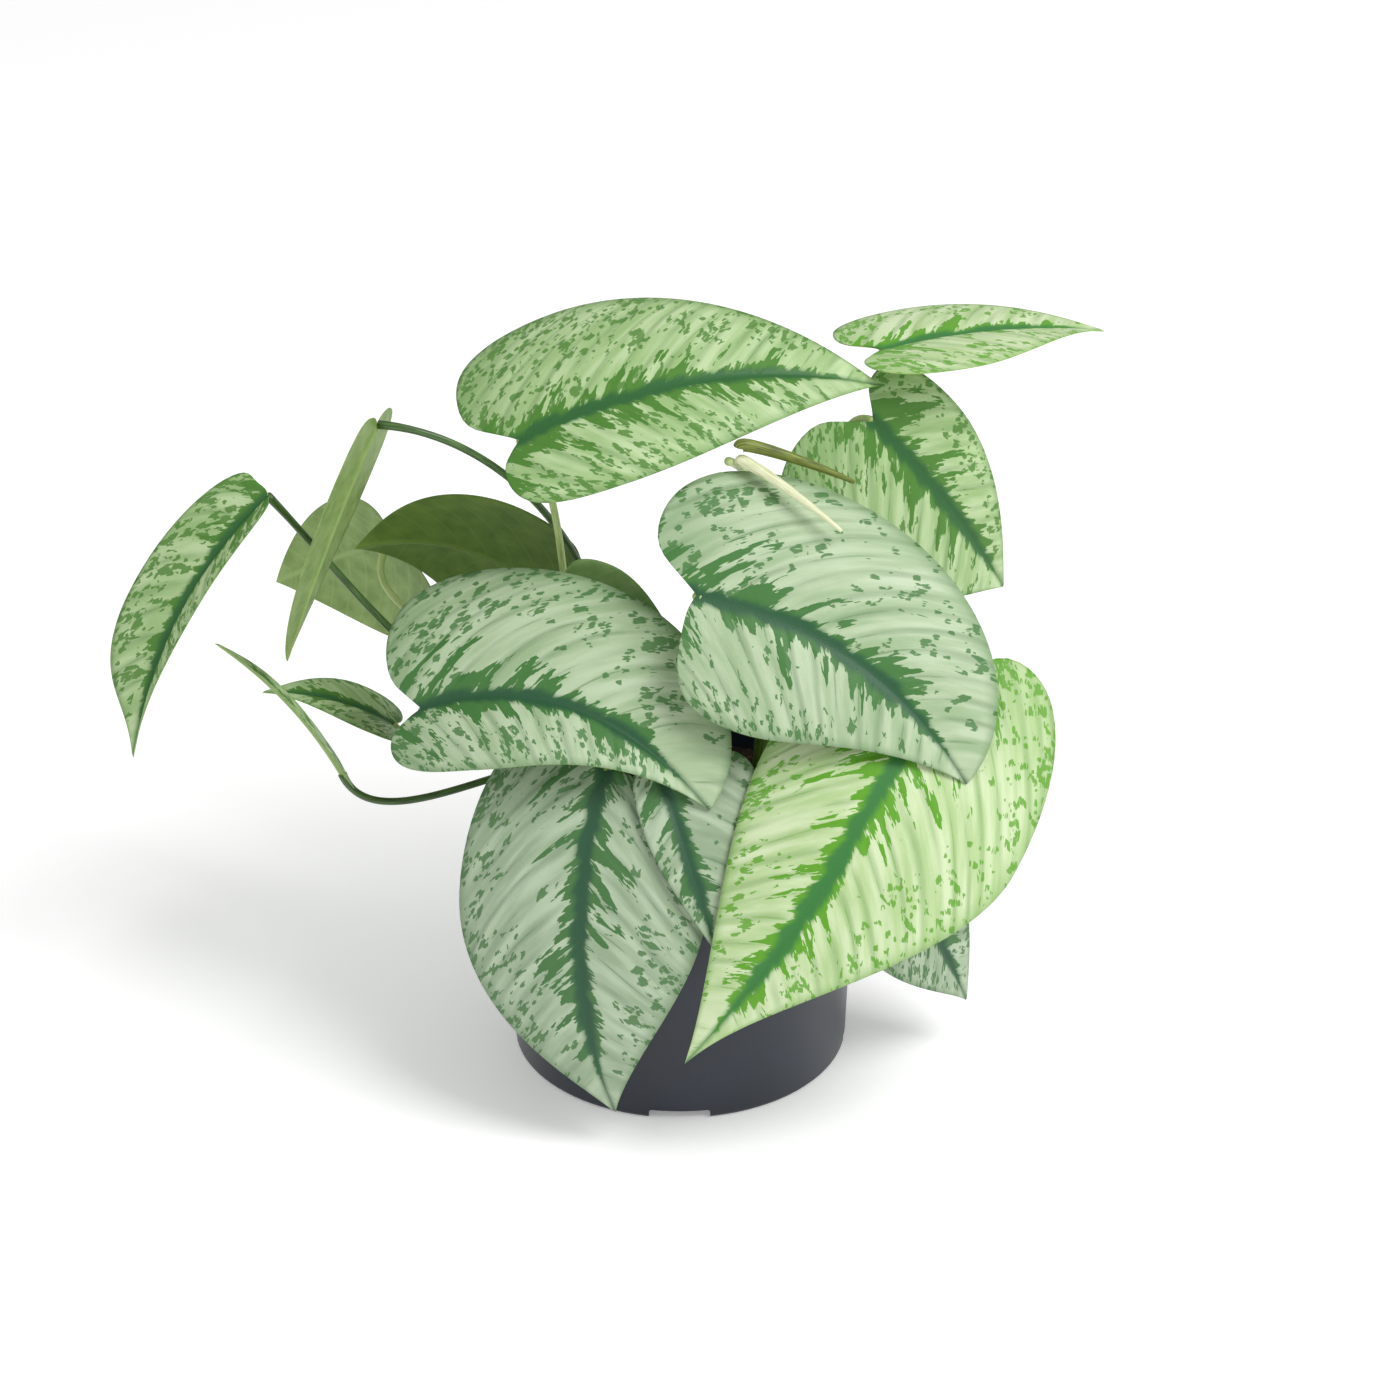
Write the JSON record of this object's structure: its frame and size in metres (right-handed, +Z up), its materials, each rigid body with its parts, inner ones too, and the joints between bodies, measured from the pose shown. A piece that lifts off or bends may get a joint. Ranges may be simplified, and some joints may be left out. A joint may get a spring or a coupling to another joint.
{
  "type": "potted satin pothos",
  "caption": "Trailing houseplant with heart-shaped, silver-splashed green leaves on thin stalks, growing from compost in a small dark tapered nursery pot.",
  "frame": {"origin": "middle of the pot's foot, on the surface that the pot stands on", "axes": "+Z up along the pot's axis, -Y towards the plant's front, +X to its right seen from the front"},
  "size_m": [0.2911, 0.1731, 0.2239],
  "materials": {
    "pot": "moulded dark navy plastic, satin",
    "soil": "damp peat compost, matte",
    "vine": "green stem, satin",
    "leaf": "thick silver-splashed leaf, satin",
    "petiole": "pale green leaf stalk, satin",
    "new_leaf": "pale rolled new leaf, satin",
    "sheath": "olive drying sheath, satin"
  },
  "bodies": {
    "root": {"pot": "pot", "soil": "soil", "vine_left": "vine", "vine_back": "vine", "vine_right": "vine", "vine_front_right": "vine", "vine_front": "vine", "leaf_top": "leaf", "leaf_top_right": "leaf", "leaf_right": "leaf", "leaf_middle": "leaf", "leaf_front_right": "leaf", "leaf_centre_left": "leaf", "leaf_front_left": "leaf", "leaf_front_middle": "leaf", "leaf_far_left": "leaf", "leaf_edge_left": "leaf", "leaf_back": "leaf", "leaf_back_inner": "leaf", "leaf_small_left": "leaf", "leaf_thin_left": "leaf", "leaf_low_right": "leaf", "leaf_inner": "leaf", "petiole_top": "petiole", "petiole_top_right": "petiole", "petiole_right": "petiole", "petiole_middle": "petiole", "petiole_front_right": "petiole", "petiole_centre_left": "petiole", "petiole_front_left": "petiole", "petiole_front_middle": "petiole", "petiole_far_left": "petiole", "petiole_edge_left": "petiole", "petiole_back": "petiole", "petiole_back_inner": "petiole", "petiole_small_left": "petiole", "petiole_thin_left": "petiole", "petiole_low_right": "petiole", "petiole_inner": "petiole", "petiole_new": "petiole", "new_leaf": "new_leaf", "leaf_sheath": "sheath"}
  },
  "joints": []
}
